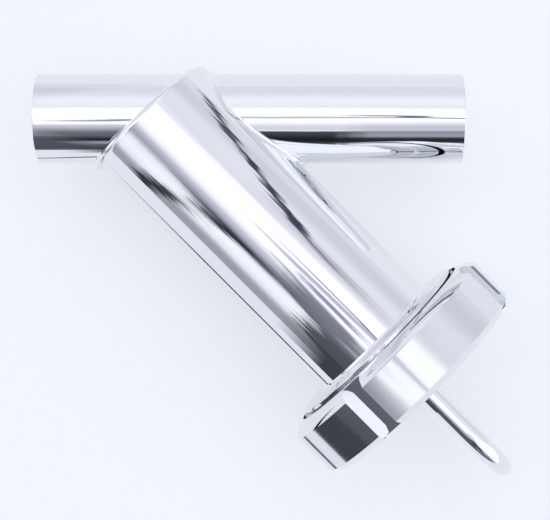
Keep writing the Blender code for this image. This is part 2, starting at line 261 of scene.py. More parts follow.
def softened(outline, steps=4):
    """(radius, station, round) corners, with each round drawn as an arc."""
    points = []
    for i, (radius, station, size) in enumerate(outline):
        corner = Vector((radius, station))
        if size <= 0.0:
            points.append(corner)
            continue
        before = (Vector(outline[i - 1][:2]) - corner).normalized()
        after = (Vector(outline[(i + 1) % len(outline)][:2]) - corner).normalized()
        half = before.angle(after) / 2
        middle = corner + (before + after).normalized() * (size / math.sin(half))
        first = corner + before * (size / math.tan(half)) - middle
        sweep = first.angle_signed(corner + after * (size / math.tan(half)) - middle)
        for step in range(steps + 1):
            turn = -sweep * step / steps
            cosine = math.cos(turn)
            sine = math.sin(turn)
            points.append(middle + Vector((first.x * cosine - first.y * sine, first.x * sine + first.y * cosine)))
    return points


def turned(name, outline, steps=None):
    """A turned piece on the Z axis: a ring pulled into the outline's shape and spun."""
    sizes = bpy.context.scene.strainer_sizes
    points = softened(outline)
    deselect()
    bpy.ops.mesh.primitive_circle_add(vertices=len(points), radius=1.0)
    piece = named(name)
    for vertex, point in zip(piece.data.vertices, points):
        vertex.co = (point.x, 0.0, point.y)
    edit(piece)
    bpy.ops.mesh.spin(steps=steps or sizes.turn_steps, angle=math.tau, center=(0, 0, 0), axis=(0, 0, 1))
    leave_edit()
    close_up(piece)
    return piece


def ring_solid(name, section_at, around):
    """A closed ring: a torus whose cross-sections are moved, one by one, to where section_at(turn) puts them."""
    across = len(section_at(0.0))
    deselect()
    bpy.ops.mesh.primitive_torus_add(major_segments=around, minor_segments=across)
    piece = named(name)
    for i in range(around):
        for j, point in enumerate(section_at(math.tau * i / around)):
            piece.data.vertices[i * across + j].co = point
    close_up(piece)
    return piece


def drill(piece, tool, operation="DIFFERENCE"):
    """Cut or join a piece with a tool, which is used up."""
    boolean = piece.modifiers.new("cut", "BOOLEAN")
    boolean.operation = operation
    boolean.solver = "EXACT"
    boolean.object = tool
    apply_modifiers(piece)
    bpy.data.objects.remove(tool, do_unlink=True)


def round_tool(radius, start, end, way, steps=128):
    """A solid cylinder on an axis, to cut with."""
    deselect()
    bpy.ops.mesh.primitive_cylinder_add(vertices=steps, radius=radius, depth=end - start,
                                        location=(0, 0, (start + end) / 2))
    tool = named("tool")
    pick(tool)
    bpy.ops.object.transform_apply(location=True, rotation=True, scale=True)
    return lay(tool, way)


def break_edges(piece, width, angle=25.0, steps=2):
    """Small rounds on every edge sharper than the angle."""
    bevel = piece.modifiers.new("edge_break", "BEVEL")
    bevel.width = width
    bevel.segments = steps
    bevel.limit_method = "ANGLE"
    bevel.angle_limit = math.radians(angle)
    bevel.use_clamp_overlap = True
    apply_modifiers(piece)


def finish_piece(piece, body, nodes, slot, *materials, angle=30.0):
    """Shade a piece, give it its materials, hang it on its body's empty and hide the CAD nodes that it stands for.
    """
    smooth(piece, angle)
    weighted = piece.modifiers.new("flat_faces", "WEIGHTED_NORMAL")
    weighted.keep_sharp = True
    apply_modifiers(piece)
    piece.data.materials.clear()
    for material in materials:
        piece.data.materials.append(material)
    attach(piece, body)
    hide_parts(*nodes)


# ---- Shader groups ------------------------------------------------------------------------------------
class Tree:
    """A node tree with short calls to add and join nodes."""

    def __init__(self, tree):
        self.tree = tree

    def add(self, kind, inputs=(), **settings):
        """A node with its settings, and its inputs set to values or joined to outputs."""
        node = self.tree.nodes.new(kind)
        for key, value in settings.items():
            setattr(node, key, value)
        for key, value in dict(inputs).items():
            if isinstance(value, bpy.types.NodeSocket):
                self.tree.links.new(value, node.inputs[key])
            else:
                node.inputs[key].default_value = value
        return node

    def maths(self, operation, *values):
        """The result of a Math node."""
        return self.add("ShaderNodeMath", dict(enumerate(values)), operation=operation).outputs[0]

    def vector(self, operation, *values):
        """The result of a Vector Math node."""
        node = self.add("ShaderNodeVectorMath", dict(enumerate(values)), operation=operation)
        return node.outputs["Value" if operation in ("LENGTH", "DOT_PRODUCT") else "Vector"]

    def spread(self, value, low, high, new_low=0.0, new_high=1.0, soft=False):
        """A value carried from one range to another, and kept inside it."""
        node = self.add("ShaderNodeMapRange", {"Value": value, "From Min": low, "From Max": high,
                                               "To Min": new_low, "To Max": new_high})
        node.interpolation_type = "SMOOTHSTEP" if soft else "LINEAR"
        return node.outputs["Result"]

    def blend(self, mask, first, second):
        """Two colours mixed by a mask."""
        node = self.add("ShaderNodeMix", data_type="RGBA")
        for key, value in ((0, mask), (6, first), (7, second)):
            if isinstance(value, bpy.types.NodeSocket):
                self.tree.links.new(value, node.inputs[key])
            else:
                node.inputs[key].default_value = value
        return node.outputs[2]

    def stripe(self, value, middle, half):
        """A soft-edged line where the value is near its middle."""
        away = self.maths("ABSOLUTE", self.maths("SUBTRACT", value, middle))
        return self.spread(away, half * 0.6, half * 1.6, 1.0, 0.0)

    def between(self, value, low, high, soft):
        """A soft-ended stretch from low to high."""
        return self.maths("MULTIPLY", self.spread(value, low - soft, low + soft),
                          self.spread(value, high - soft, high + soft, 1.0, 0.0))

    def ramp(self, value, stops):
        """A ramp of the room's greys: (position, brightness) stops."""
        node = self.add("ShaderNodeValToRGB", {0: value})
        elements = node.color_ramp.elements
        while len(elements) < len(stops):
            elements.new(1.0)
        for element, (position, brightness) in zip(elements, stops):
            element.position = position
            element.color = (*room_grey(brightness), 1.0)
        return node.outputs[0]

    def noise(self, vector, scale, detail=2.0, roughness=0.5):
        """The value of a Noise texture."""
        node = self.add("ShaderNodeTexNoise", {"Vector": vector, "Scale": scale, "Detail": detail,
                                               "Roughness": roughness})
        return node.outputs["Fac"]


def room_grey(brightness, blue=0.0):
    """A cool grey of the room, by how bright the polish should show it."""
    level = ((brightness + 0.055) / 1.055) ** 2.4 / (0.84 * 1.5)
    cool = blue + 0.04 + 0.16 * max(0.0, 1.0 - brightness)
    return (level * (1 - cool * 0.8), level * (1 - cool * 0.5), level * (1 + cool))


def group(name, inputs, outputs):
    """A new shader group with its sockets: (name, type, default) inputs and (name, type) outputs."""
    tree = bpy.data.node_groups.new(name, "ShaderNodeTree")
    for socket_name, kind, default in inputs:
        socket = tree.interface.new_socket(socket_name, in_out="INPUT", socket_type=kind)
        if default is not None:
            socket.default_value = default
    for socket_name, kind in outputs:
        tree.interface.new_socket(socket_name, in_out="OUTPUT", socket_type=kind)
    nodes = Tree(tree)
    return nodes, nodes.add("NodeGroupInput").outputs, nodes.add("NodeGroupOutput").inputs


def make_polish_group():
    """Fine polishing lines across Z, fading in and out in patches."""
    nodes, given, result = group(
        "polish_lines",
        [("Vector", "NodeSocketVector", None), ("Fineness", "NodeSocketFloat", 1.0),
         ("Amount", "NodeSocketFloat", 1.0)],
        [("Height", "NodeSocketFloat"), ("Mask", "NodeSocketFloat")])
    lines = nodes.add("ShaderNodeMapping", {"Vector": given["Vector"], "Scale": (60.0, 60.0, 3000.0)})
    fine = nodes.noise(nodes.vector("MULTIPLY", lines.outputs[0], nodes.add(
        "ShaderNodeCombineXYZ", {0: 1.0, 1: 1.0, 2: given["Fineness"]}).outputs[0]), 1.0, 3.0, 0.65)
    patches = nodes.spread(nodes.noise(given["Vector"], 90.0, 3.0), 0.38, 0.68, 0.25, 1.0)
    mask = nodes.maths("MULTIPLY", patches, given["Amount"])
    nodes.tree.links.new(nodes.maths("MULTIPLY", nodes.maths("SUBTRACT", fine, 0.5), mask), result["Height"])
    nodes.tree.links.new(nodes.maths("MULTIPLY", fine, mask), result["Mask"])
    return nodes.tree


def make_smudge_group():
    """Wiped smears and a few spots of handling."""
    nodes, given, result = group(
        "smudges", [("Vector", "NodeSocketVector", None), ("Scale", "NodeSocketFloat", 1.0)],
        [("Mask", "NodeSocketFloat")])
    stretched = nodes.add("ShaderNodeMapping", {"Vector": given["Vector"], "Scale": (45.0, 60.0, 22.0)})
    moved = nodes.add("ShaderNodeVectorMath", {0: stretched.outputs[0], 3: given["Scale"]}, operation="SCALE")
    smear = nodes.spread(nodes.noise(moved.outputs[0], 1.0, 5.0, 0.62), 0.50, 0.78, soft=True)
    spots = nodes.spread(nodes.noise(given["Vector"], 420.0, 2.0), 0.66, 0.80, soft=True)
    nodes.tree.links.new(nodes.maths("MAXIMUM", smear, nodes.maths("MULTIPLY", spots, 0.6)), result["Mask"])
    return nodes.tree


def make_lathe_group():
    """Turning marks: fine rings round Z, with a slow waver."""
    nodes, given, result = group(
        "lathe_rings", [("Vector", "NodeSocketVector", None), ("Pitch", "NodeSocketFloat", 0.0002)],
        [("Height", "NodeSocketFloat"), ("Mask", "NodeSocketFloat")])
    parts = nodes.add("ShaderNodeSeparateXYZ", {0: given["Vector"]}).outputs
    flat = nodes.add("ShaderNodeCombineXYZ", {0: parts[0], 1: parts[1]}).outputs[0]
    radius = nodes.vector("LENGTH", flat)
    waver = nodes.maths("MULTIPLY", nodes.noise(given["Vector"], 30.0, 2.0), 0.0009)
    travel = nodes.maths("ADD", nodes.maths("ADD", radius, parts[2]), waver)
    turn = nodes.maths("MULTIPLY", nodes.maths("DIVIDE", travel, given["Pitch"]), math.tau)
    cross = nodes.maths("MULTIPLY", nodes.maths("ADD", nodes.maths("SINE", turn), 1.0), 0.5)
    across = nodes.add("ShaderNodeCombineXYZ", {2: nodes.maths("MULTIPLY", travel, 2600.0)}).outputs[0]
    grain = nodes.noise(across, 1.0, 4.0, 0.7)
    nodes.tree.links.new(nodes.maths("ADD", nodes.maths("MULTIPLY", cross, 0.35), grain), result["Height"])
    nodes.tree.links.new(grain, result["Mask"])
    return nodes.tree


def place_group(nodes, tree, inputs):
    """A group node in a material, with its own values."""
    node = nodes.add("ShaderNodeGroup")
    node.node_tree = tree
    for key, value in inputs.items():
        if isinstance(value, bpy.types.NodeSocket):
            nodes.tree.links.new(value, node.inputs[key])
        else:
            node.inputs[key].default_value = value
    return node.outputs


def new_material(name, metallic):
    """An empty Principled material with its metallic set: the material, a helper for its node tree, and its shader.
    """
    material = bpy.data.materials.new(name)
    material.use_nodes = True
    shader = material.node_tree.nodes["Principled BSDF"]
    shader.inputs["Metallic"].default_value = metallic
    return material, Tree(material.node_tree), shader


def along(nodes, way):
    """Object coordinates turned so that Z runs along an axis."""
    coordinates = nodes.add("ShaderNodeTexCoord").outputs["Object"]
    turn = axes(way).to_3x3().inverted().to_euler()
    return nodes.add("ShaderNodeMapping", {"Vector": coordinates, "Rotation": tuple(turn)}).outputs[0]


def bump(nodes, shader, height, strength, distance):
    """Feed a height to the shader's normal."""
    node = nodes.add("ShaderNodeBump", {"Height": height, "Strength": strength, "Distance": distance})
    nodes.tree.links.new(node.outputs["Normal"], shader.inputs["Normal"])


def tinted(base, factor):
    """A colour made lighter or darker, with its alpha."""
    return (*[min(1.0, channel * factor) for channel in base], 1.0)


def mirror_steel(name, way, fineness=1.0, wave=1.0):
    """Mirror-polished steel with faint lines round its axis, smears and a slight roll."""
    look = bpy.context.scene.strainer_finish
    material, nodes, shader = new_material(name, 1.0)
    vector = along(nodes, way)
    lines = place_group(nodes, bpy.data.node_groups["polish_lines"], {"Vector": vector, "Fineness": fineness})
    smears = place_group(nodes, bpy.data.node_groups["smudges"], {"Vector": vector})
    paint = nodes.blend(nodes.maths("MULTIPLY", smears["Mask"], 0.5),
                        tinted(look.polished, 1.0), tinted(look.polished, 0.93))
    nodes.tree.links.new(paint, shader.inputs["Base Color"])
    marks = nodes.maths("MULTIPLY", lines["Mask"], 0.02)
    rough = nodes.maths("ADD", nodes.maths("MULTIPLY", smears["Mask"], 0.03), nodes.maths("ADD", marks, look.mirror))
    nodes.tree.links.new(rough, shader.inputs["Roughness"])
    roll = nodes.maths("MULTIPLY", nodes.noise(vector, 55.0, 2.0), wave)
    height = nodes.maths("ADD", nodes.maths("MULTIPLY", lines["Height"], 0.004), roll)
    bump(nodes, shader, height, 1.0, 0.00004)
    return material


def satin_steel(name, way, pitch=0.00025):
    """Turned satin steel."""
    look = bpy.context.scene.strainer_finish
    material, nodes, shader = new_material(name, 1.0)
    vector = along(nodes, way)
    rings = place_group(nodes, bpy.data.node_groups["lathe_rings"], {"Vector": vector, "Pitch": pitch})
    smears = place_group(nodes, bpy.data.node_groups["smudges"], {"Vector": vector, "Scale": 1.4})
    paint = nodes.blend(nodes.maths("MULTIPLY", rings["Mask"], 0.6),
                        tinted(look.satin, 1.02), tinted(look.satin, 0.90))
    nodes.tree.links.new(paint, shader.inputs["Base Color"])
    rough = nodes.maths("ADD", nodes.maths("MULTIPLY", smears["Mask"], 0.06),
                        nodes.maths("MULTIPLY_ADD", rings["Mask"], 0.10, look.satin_roughness - 0.05))
    nodes.tree.links.new(rough, shader.inputs["Roughness"])
    bump(nodes, shader, rings["Height"], 0.25, 0.00001)
    return material


def mill_steel(name, way):
    """Plain rolled steel: a soft grain and dull patches."""
    look = bpy.context.scene.strainer_finish
    material, nodes, shader = new_material(name, 1.0)
    vector = along(nodes, way)
    lines = place_group(nodes, bpy.data.node_groups["polish_lines"], {"Vector": vector, "Fineness": 0.6})
    smears = place_group(nodes, bpy.data.node_groups["smudges"], {"Vector": vector, "Scale": 2.0})
    paint = nodes.blend(smears["Mask"], tinted(look.inner, 1.05), tinted(look.inner, 0.82))
    nodes.tree.links.new(paint, shader.inputs["Base Color"])
    rough = nodes.maths("ADD", nodes.maths("MULTIPLY", smears["Mask"], 0.12),
                        nodes.maths("MULTIPLY_ADD", lines["Mask"], 0.12, 0.22))
    nodes.tree.links.new(rough, shader.inputs["Roughness"])
    bump(nodes, shader, lines["Height"], 0.4, 0.00003)
    return material


def weld_steel(name, way, ripple=0.4):
    """A ground weld: close to the polish round it, with ripples, pits and a trace of heat tint."""
    look = bpy.context.scene.strainer_finish
    material, nodes, shader = new_material(name, 1.0)
    vector = along(nodes, way)
    smears = place_group(nodes, bpy.data.node_groups["smudges"], {"Vector": vector, "Scale": 3.0})
    heat = nodes.spread(nodes.noise(vector, 160.0, 2.0), 0.55, 0.80, 0.0, 0.35, soft=True)
    paint = nodes.blend(heat, tinted(look.weld, 1.08), tinted(look.tint, 1.0))
    nodes.tree.links.new(paint, shader.inputs["Base Color"])
    nodes.tree.links.new(nodes.maths("MULTIPLY_ADD", smears["Mask"], 0.08, 0.03), shader.inputs["Roughness"])
    pits = nodes.noise(vector, 1400.0, 3.0, 0.6)
    bump(nodes, shader, nodes.maths("ADD", nodes.noise(vector, 420.0, 2.0), nodes.maths("MULTIPLY", pits, 0.3)),
         ripple, 0.00012)
    return material


def rubber(name, way):
    """White food-grade rubber with a matt bloom."""
    look = bpy.context.scene.strainer_finish
    material, nodes, shader = new_material(name, 0.0)
    vector = along(nodes, way)
    smears = place_group(nodes, bpy.data.node_groups["smudges"], {"Vector": vector, "Scale": 2.0})
    paint = nodes.blend(smears["Mask"], tinted(look.rubber, 1.0), tinted(look.rubber, 0.90))
    nodes.tree.links.new(paint, shader.inputs["Base Color"])
    nodes.tree.links.new(nodes.maths("MULTIPLY_ADD", smears["Mask"], 0.15, 0.42), shader.inputs["Roughness"])
    bump(nodes, shader, nodes.noise(vector, 1800.0, 2.0), 0.2, 0.00004)
    return material


# ---- Shapes -------------------------------------------------------------------------------------------
def saddle(y, z, radius):
    """Where a line along the run, at this y and z, meets a tube of this radius on the leg's axis."""
    return (math.sqrt(radius ** 2 - z ** 2) - y * LEG_SIDE.y) / LEG_SIDE.x


def mitre(y, station):
    """Where a line along the run, at this y, meets the flat across the leg at this station."""
    return (station - y * LEG_WAY.y) / LEG_WAY.x


def pipe(name, reach, near, far):
    """A thin pipe on the run's axis, whose two ends lie where near(y, z) and far(y, z) put them."""
    sizes = bpy.context.scene.strainer_sizes
    deselect()
    bpy.ops.mesh.primitive_cylinder_add(vertices=sizes.turn_steps, radius=reach.outer, depth=1.0,
                                        end_fill_type="NOTHING")
    piece = lay(named(name), RUN_WAY)
    for vertex in piece.data.vertices:
        y, z = vertex.co.y, vertex.co.z
        vertex.co.x = near(y, z) if vertex.co.x < 0 else far(y, z)
    close_up(piece)
    wall = piece.modifiers.new("wall", "SOLIDIFY")
    wall.thickness = reach.outer - reach.inner
    wall.offset = -1.0
    apply_modifiers(piece)
    break_edges(piece, sizes.edge_break, angle=60.0)
    return piece


def fillet_section(centre, first, second, radius, sink, steps=10):
    """A hollow weld's cross-section: an arc that is tangent to both walls, and a corner sunk in the metal."""
    points = []
    angle = first.angle(second)
    for step in range(steps + 1):
        share_ = step / steps
        way = (first * math.sin((1 - share_) * angle) + second * math.sin(share_ * angle)) / math.sin(angle)
        points.append(centre - way * radius)
    corner = centre - (first + second).normalized() * (radius / math.cos(angle / 2) + sink)
    points.append(corner)
    return points


class PieceOperator:
    """What the operators of the pieces share."""

    bl_options = {"REGISTER", "UNDO"}

    def execute(self, context):
        """Build the pieces."""
        self.build(context.scene.strainer_sizes)
        return {"FINISHED"}


class STRAINER_OT_materials(PieceOperator, bpy.types.Operator):
    """Make the shared shader groups and the finishes"""

    bl_idname = "strainer.materials"
    bl_label = "Make Finishes"

    def build(self, sizes):
        make_polish_group()
        make_smudge_group()
        make_lathe_group()
        mirror_steel("polished_run", RUN_WAY)
        mirror_steel("polished_leg", LEG_WAY)
        mirror_steel("polished_fitting", LEG_WAY, fineness=1.6, wave=0.3)
        satin_steel("satin_turned", LEG_WAY)
        mill_steel("mill_leg", LEG_WAY)
        weld_steel("weld_ground", LEG_WAY, ripple=0.06)
        weld_steel("weld_bead", LEG_WAY, ripple=0.9)
        rubber("white_rubber", LEG_WAY)


def material(name):
    """A finish by its name."""
    return bpy.data.materials[name]


class STRAINER_OT_run_pipes(PieceOperator, bpy.types.Operator):
    """Build the inlet and outlet pipes of the run"""

    bl_idname = "strainer.run_pipes"
    bl_label = "Build Run Pipes"

    def build(self, sizes):
        sunk = (inlet.outer - inlet.inner) / 3
        piece = pipe("inlet_pipe", inlet, lambda y, z: inlet.start, lambda y, z: mitre(y, plate.start + sunk))
        finish_piece(piece, "housing", ["inlet_tube"], "polished_steel", material("polished_run"))
        piece = pipe("outlet_pipe", outlet, lambda y, z: saddle(y, z, barrel.outer - sunk),
                     lambda y, z: outlet.end)
        finish_piece(piece, "housing", ["outlet_tube"], "polished_steel", material("polished_run"))


class STRAINER_OT_barrel(PieceOperator, bpy.types.Operator):
    """Build the barrel, its end plate and the seat ring inside"""

    bl_idname = "strainer.barrel"
    bl_label = "Build Barrel"

    def build(self, sizes):
        rings = 24
        skin = []
        for i in range(rings + 1):
            skin.append((barrel.outer, barrel.end + (barrel.start - barrel.end) * i / rings, 0.0))
        piece = turned("barrel", skin + [(barrel.inner, barrel.start, 0.0), (barrel.inner, barrel.end, 0.0)])
        lay(piece, LEG_WAY)
        drill(piece, round_tool(outlet.inner, 0.0, outlet.end, RUN_WAY))
        finish_piece(piece, "housing", ["barrel_tube"], "polished_steel", material("polished_leg"))
        edge = sizes.plate_round
        piece = turned("end_disc", [(0.0, plate.end, 0.0), (plate.outer, plate.end, 0.0),
                                    (plate.outer, plate.start, edge), (0.0, plate.start, 0.0)])
        lay(piece, LEG_WAY)
        far = inlet.outer * 2
        drill(piece, round_tool(inlet.inner, -far, far, RUN_WAY))
        finish_piece(piece, "housing", ["end_plate"], "polished_steel", material("polished_leg"))
        edge = sizes.edge_break
        piece = turned("seat_ring_turned", [(seat.outer, seat.end, edge), (seat.outer, seat.start, 0.0),
                                            (seat.inner, seat.start, edge), (seat.inner, seat.end, edge * 3)])
        lay(piece, LEG_WAY)
        finish_piece(piece, "housing", ["seat_ring"], "inner_steel", material("satin_turned"))


class STRAINER_OT_welds(PieceOperator, bpy.types.Operator):
    """Build the ground welds of the housing"""

    bl_idname = "strainer.welds"
    bl_label = "Build Welds"

    def build(self, sizes):
        sink = 0.0006
        around = sizes.turn_steps

        def saddle_section(turn):
            """The outlet's weld: wide on the back, small in the sharp corner under the pipe."""
            out = Vector((0.0, math.cos(turn), math.sin(turn)))
            back = (1 + math.cos(turn)) / 2
            radius = sizes.crotch_fillet + (sizes.saddle_fillet - sizes.crotch_fillet) * back ** 2
            y, z = out.y * (outlet.outer + radius), out.z * (outlet.outer + radius)
            centre = Vector((saddle(y, z, barrel.outer + radius), y, z))
            spoke = (centre - LEG_WAY * centre.dot(LEG_WAY)).normalized()
            return fillet_section(centre, out, spoke, radius, sink)

        def mitre_section(turn):
            """The inlet's weld on the end plate."""
            out = Vector((0.0, math.cos(turn), math.sin(turn)))
            radius = sizes.mitre_fillet
            y, z = out.y * (inlet.outer + radius), out.z * (inlet.outer + radius)
            centre = Vector((mitre(y, plate.start - radius), y, z))
            return fillet_section(centre, out, -LEG_WAY, radius, sink)

        piece = ring_solid("outlet_weld", saddle_section, around)
        finish_piece(piece, "housing", ["weld_outlet"], "weld_steel", material("weld_ground"), angle=60.0)
        piece = ring_solid("inlet_weld", mitre_section, around)
        finish_piece(piece, "housing", ["weld_inlet"], "weld_steel", material("weld_ground"), angle=60.0)
        middle = (plate.end + barrel.start) / 2
        gap = barrel.start - plate.end
        piece = turned("closing_seam", [(barrel.outer - gap / 4, middle + gap, gap / 3),
                                        (barrel.outer - gap / 4, middle - gap, gap / 3),
                                        (barrel.outer - gap * 3, middle, 0.0)])
        lay(piece, LEG_WAY)
        finish_piece(piece, "housing", ["weld_end_plate"], "weld_steel", material("weld_ground"))
        radius = sizes.crotch_fillet
        piece = turned("neck_weld", [(barrel.outer, barrel.end - radius, 0.0),
                                     (barrel.outer + radius * 0.35, barrel.end - radius * 0.30, radius),
                                     (barrel.outer + radius * 1.2, ferrule.start, 0.0),
                                     (barrel.outer - sink, ferrule.start + sink, 0.0),
                                     (barrel.outer - sink, barrel.end - radius, 0.0)])
        lay(piece, LEG_WAY)
        finish_piece(piece, "housing", ["weld_ferrule"], "weld_steel", material("weld_ground"))


class STRAINER_OT_ferrule(PieceOperator, bpy.types.Operator):
    """Build the screwed ferrule with its round thread, and the gasket in its groove"""

    bl_idname = "strainer.ferrule"
    bl_label = "Build Ferrule"

    def build(self, sizes):
        root = ferrule.outer - sizes.thread_depth
        floor = ferrule.end - sizes.groove_depth
        groove = gasket.outer + 0.0003
        edge = sizes.edge_break
        piece = turned("threaded_ferrule", [
            (root, ferrule.end, edge * 2), (root, ferrule.start, edge * 2), (ferrule.inner, ferrule.start, 0.0),
            (ferrule.inner, floor, edge), (groove, floor, 0.0), (groove, ferrule.end, edge)])
        drill(piece, self.ridge(sizes, root), "UNION")
        close_up(piece)
        lay(piece, LEG_WAY)
        finish_piece(piece, "housing", ["thread_ferrule"], "satin_steel", material("satin_turned"), angle=40.0)
        piece = turned("gasket_ring", [
            (gasket.outer, gasket.end, 0.0007), (gasket.outer, gasket.start, 0.0004),
            (gasket.inner, gasket.start, 0.0004), (gasket.inner, gasket.end, 0.0009)])
        lay(piece, LEG_WAY)
        finish_piece(piece, "housing", ["gasket"], "gasket_rubber", material("white_rubber"))

    def ridge(self, sizes, root):
        """The thread's ridge: a round-topped section wound up as a screw, with closed ends."""
        pitch = sizes.thread_pitch
        half = pitch * 0.46
        arc = 8
        turns = (ferrule.end - ferrule.start - pitch * 1.5) / pitch
        deselect()
        bpy.ops.mesh.primitive_circle_add(vertices=arc + 3, radius=1.0)
        piece = named("ridge")
        points = [(root - 0.0004, -half), (root - 0.0004, half)]
        for i in range(arc + 1):
            travel = half * (1 - 2 * i / arc)
            points.append((root + sizes.thread_depth * math.cos(travel / half * math.pi / 2) ** 0.8, travel))
        start = ferrule.start + pitch * 0.9
        for vertex, (radius, station) in zip(piece.data.vertices, points):
            vertex.co = (radius, 0.0, start + station)
        screw = piece.modifiers.new("thread", "SCREW")
        screw.axis = "Z"
        screw.angle = math.tau * turns
        screw.screw_offset = pitch * turns
        screw.steps = int(96 * turns)
        screw.render_steps = screw.steps
        screw.use_merge_vertices = False
        apply_modifiers(piece)
        edit(piece, selected=False)
        bpy.ops.mesh.select_non_manifold()
        bpy.ops.mesh.fill_holes(sides=0)
        leave_edit()
        close_up(piece)
        return piece


class STRAINER_OT_cap(PieceOperator, bpy.types.Operator):
    """Build the blank cap and its bow handle"""

    bl_idname = "strainer.cap"
    bl_label = "Build Cap"

    def build(self, sizes):
        edge = sizes.edge_break
        flange_start = gasket.end + 0.0003
        flange_end = nut.end - sizes.collar - 0.0003
        boss = nut.inner - 0.0004
        spigot = base.outer
        bore = spigot - 0.0025
        piece = turned("cap", [
            (0.0, cap.end, 0.0), (boss, cap.end, edge * 3), (boss, flange_end, edge),
            (cap.outer, flange_end, edge), (cap.outer, flange_start, edge), (spigot, flange_start, edge),
            (spigot, cap.start, edge * 2), (bore, cap.start, edge), (bore, flange_start, edge * 4),
            (0.0, flange_start, 0.0)])
        lay(piece, LEG_WAY)
        finish_piece(piece, "cap", ["blank_cap"], "satin_steel", material("satin_turned"))
        foot = cap.end - 0.0004
        rod = sizes.handle_rod / 2
        half = handle_high.z - rod
        centre = handle.end - rod - half - sizes.edge_break
        deselect()
        bpy.ops.mesh.primitive_circle_add(vertices=48, radius=rod, fill_type="NGON")
        piece = named("bow_handle")
        piece.data.transform(Matrix.Translation((half, 0.0, foot)))
        edit(piece)
        bpy.ops.mesh.extrude_region_move(TRANSFORM_OT_translate={"value": (0, 0, centre - foot)})
        bpy.ops.mesh.spin(steps=96, angle=math.pi, center=(0, 0, centre), axis=(0, 1, 0))
        bpy.ops.mesh.extrude_region_move(TRANSFORM_OT_translate={"value": (0, 0, foot - centre)})
        leave_edit()
        close_up(piece)
        lay(piece, LEG_WAY)
        finish_piece(piece, "cap", ["handle_loop"], "polished_steel", material("polished_fitting"), angle=60.0)
        for side, letter in ((1, "a"), (-1, "b")):
            piece = self.foot_weld(letter, rod)
            lay(piece, LEG_WAY, (side * half, 0.0, cap.end))
            finish_piece(piece, "cap", [f"handle_weld_{letter}"], "weld_steel", material("weld_bead"), angle=60.0)

    def foot_weld(self, letter, rod):
        """The rippled bead round a foot of the handle."""
        size = 0.0011
        ripples = 26

        def section(turn):
            swell = size * (1 + 0.10 * math.cos(ripples * turn))
            points = []
            for i in range(12):
                angle = math.tau * i / 12
                radius = rod + size * 0.45 + swell * math.cos(angle)
                points.append((radius * math.cos(turn), radius * math.sin(turn), swell * math.sin(angle)))
            return points

        return ring_solid(f"foot_weld_{letter}", section, ripples * 6)


class STRAINER_OT_nut(PieceOperator, bpy.types.Operator):
    """Build the slotted union nut"""

    bl_idname = "strainer.nut"
    bl_label = "Build Nut"

    def build(self, sizes):
        bore = nut.outer - sizes.nut_wall
        collar_start = nut.end - sizes.collar
        chamfer = 0.0022
        piece = turned("slotted_nut", [
            (nut.outer - chamfer, nut.end, 0.0), (nut.outer, nut.end - chamfer, 0.0),
            (nut.outer, nut.start + 0.0036, 0.0), (nut.outer - 0.0026, nut.start + 0.0012, 0.0),
            (bore + 0.0008, nut.start, 0.0), (bore, nut.start, 0.0), (bore, collar_start, 0.0),
            (nut.inner, collar_start, 0.0), (nut.inner, nut.end, 0.0)])
        for i in range(4):
            drill(piece, self.slot_tool(sizes, sizes.slot_turn + math.tau * i / 4))
        close_up(piece)
        break_edges(piece, sizes.edge_break)
        lay(piece, LEG_WAY)
        finish_piece(piece, "nut", ["union_nut"], "polished_steel", material("polished_fitting"),
                     material("satin_turned"))
        for face in piece.data.polygons:
            spoke = face.center - LEG_WAY * face.center.dot(LEG_WAY)
            if spoke.length > nut.outer - 0.0001 and face.normal.dot(spoke.normalized()) > 0.99:
                face.material_index = 1

    def slot_tool(self, sizes, turn):
        """A block that cuts one spanner slot."""
        deselect()
        bpy.ops.mesh.primitive_cube_add(size=1.0)
        tool = named("tool")
        depth = sizes.slot_depth * 2
        height = (nut.end - nut.start) * 2
        centre = (nut.outer - sizes.slot_depth + depth / 2, 0.0, (nut.start + nut.end) / 2)
        tool.data.transform(Matrix.Rotation(turn, 4, "Z") @ Matrix.Translation(centre)
                            @ Matrix.Diagonal((depth, sizes.slot_width, height, 1.0)))
        return tool


